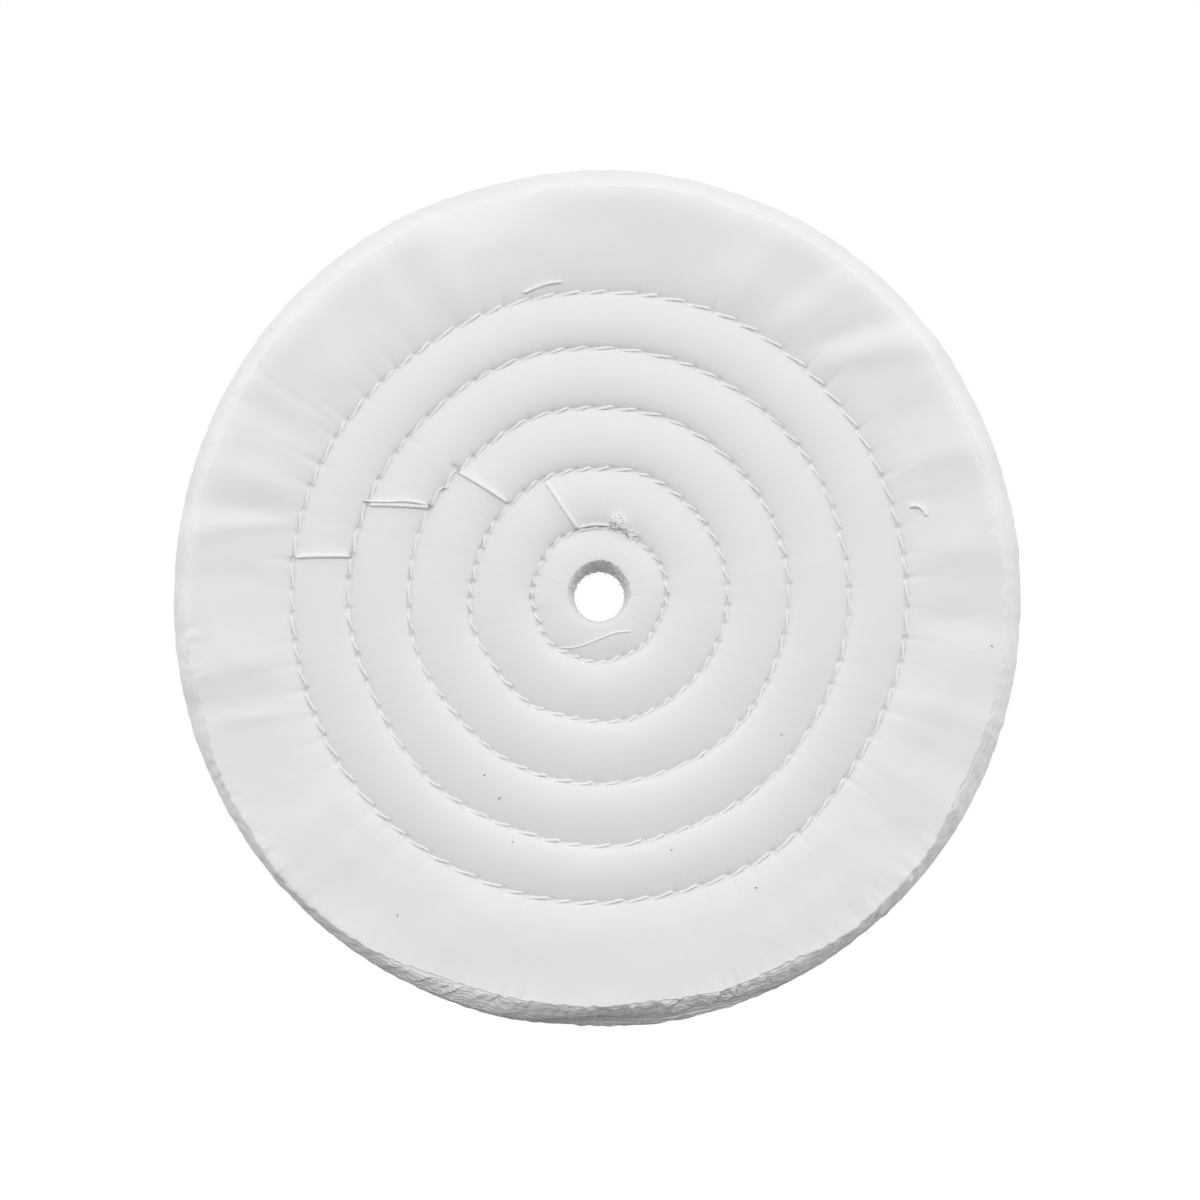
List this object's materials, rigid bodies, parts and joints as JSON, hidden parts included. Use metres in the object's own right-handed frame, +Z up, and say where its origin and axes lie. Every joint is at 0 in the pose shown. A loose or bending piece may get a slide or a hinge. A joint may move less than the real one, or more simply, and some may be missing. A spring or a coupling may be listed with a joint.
{
  "type": "sewn cotton buffing wheel",
  "caption": "Round polishing wheel of stacked cotton cloth plies, sewn together by concentric rings of lockstitch, with a plain arbor hole.",
  "frame": {"origin": "centre of the arbor hole, on its axis, at the wheel's mid-thickness", "axes": "+Y is the axis the wheel spins about, with the front face towards -Y; +Z is up"},
  "size_m": [0.2032, 0.0143, 0.2032],
  "materials": {
    "cotton_cloth": "matt bleached plain-weave cotton",
    "cotton_thread": "matt twisted cotton sewing thread"
  },
  "bodies": {
    "root": {"ply_01_front_face": "cotton_cloth", "ply_02": "cotton_cloth", "ply_03": "cotton_cloth", "ply_04": "cotton_cloth", "ply_05": "cotton_cloth", "ply_06": "cotton_cloth", "ply_07": "cotton_cloth", "ply_08": "cotton_cloth", "ply_09": "cotton_cloth", "ply_10": "cotton_cloth", "ply_11": "cotton_cloth", "ply_12": "cotton_cloth", "ply_13": "cotton_cloth", "ply_14": "cotton_cloth", "ply_15": "cotton_cloth", "ply_16": "cotton_cloth", "ply_17": "cotton_cloth", "ply_18": "cotton_cloth", "ply_19": "cotton_cloth", "ply_20": "cotton_cloth", "ply_21": "cotton_cloth", "ply_22": "cotton_cloth", "ply_23": "cotton_cloth", "ply_24": "cotton_cloth", "ply_25": "cotton_cloth", "ply_26": "cotton_cloth", "ply_27": "cotton_cloth", "ply_28": "cotton_cloth", "ply_29": "cotton_cloth", "ply_30": "cotton_cloth", "ply_31": "cotton_cloth", "ply_32": "cotton_cloth", "ply_33": "cotton_cloth", "ply_34": "cotton_cloth", "ply_35": "cotton_cloth", "ply_36": "cotton_cloth", "ply_37": "cotton_cloth", "ply_38": "cotton_cloth", "ply_39": "cotton_cloth", "ply_40_back_face": "cotton_cloth", "needle_thread_row_1": "cotton_thread", "needle_thread_row_2": "cotton_thread", "needle_thread_row_3": "cotton_thread", "needle_thread_row_4": "cotton_thread", "needle_thread_row_5": "cotton_thread", "bobbin_thread_row_1": "cotton_thread", "bobbin_thread_row_2": "cotton_thread", "bobbin_thread_row_3": "cotton_thread", "bobbin_thread_row_4": "cotton_thread", "bobbin_thread_row_5": "cotton_thread", "needle_thread_jump_5_to_4": "cotton_thread", "needle_thread_jump_4_to_3": "cotton_thread", "needle_thread_jump_3_to_2": "cotton_thread", "needle_thread_jump_2_to_1": "cotton_thread", "bobbin_thread_jumps": "cotton_thread", "needle_thread_start_tail": "cotton_thread", "needle_thread_knot": "cotton_thread"}
  },
  "joints": []
}
